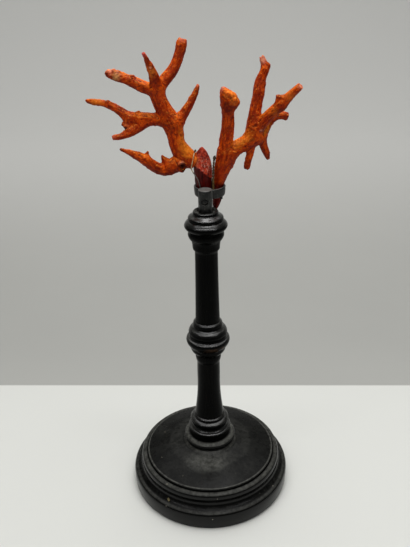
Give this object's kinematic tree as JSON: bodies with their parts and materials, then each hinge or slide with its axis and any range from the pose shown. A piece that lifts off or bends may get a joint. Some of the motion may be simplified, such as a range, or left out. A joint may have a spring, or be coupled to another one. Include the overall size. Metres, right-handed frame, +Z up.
{
  "type": "red coral branch on turned stand",
  "caption": "Display specimen of red coral: branching orange-red limbs and a dark core stump, wired into a metal hoop on a turned, ebonised wooden stand with a stepped round base.",
  "frame": {"origin": "centre of the flat underside of the stand's base", "axes": "+Z up along the column; -Y towards the viewer, the side on which the peg stands in front of the coral; +X to the viewer's right"},
  "size_m": [0.1208, 0.1058, 0.2904],
  "materials": {
    "coral_bark": "dry, matte to satin, mottled orange-red with dark streaks and small pits",
    "coral_core": "bare dark-red core, satin, with fine grooves and scratches",
    "ebonised_wood": "black stained and waxed, semi-matte, a little dusty and worn",
    "blackened_metal": "blackened, semi-matte, worn at the edges",
    "tie_wire": "thin, tarnished brass wire"
  },
  "bodies": {
    "root": {"coral_left_stem": "coral_bark", "coral_left_low_limb": "coral_bark", "coral_crown_stem": "coral_bark", "coral_left_bough": "coral_bark", "coral_left_bough_fork": "coral_bark", "coral_inner_twig": "coral_bark", "coral_crown_left_limb": "coral_bark", "coral_crown_right_limb": "coral_bark", "coral_crown_front_twig": "coral_bark", "coral_right_stem": "coral_bark", "coral_right_post": "coral_bark", "coral_right_bough": "coral_bark", "coral_right_upright": "coral_bark", "coral_right_high_limb": "coral_bark", "coral_right_low_limb": "coral_bark", "coral_drop_twig_front": "coral_bark", "coral_drop_twig_back": "coral_bark", "coral_core_stump": "coral_core", "stand_base": "ebonised_wood", "stand_lower_column": "ebonised_wood", "stand_upper_column": "ebonised_wood", "clasp_peg": "blackened_metal", "clasp_hoop": "blackened_metal", "clasp_screw": "blackened_metal", "tie_wire_left": "tie_wire", "tie_wire_right": "tie_wire"}
  },
  "joints": []
}
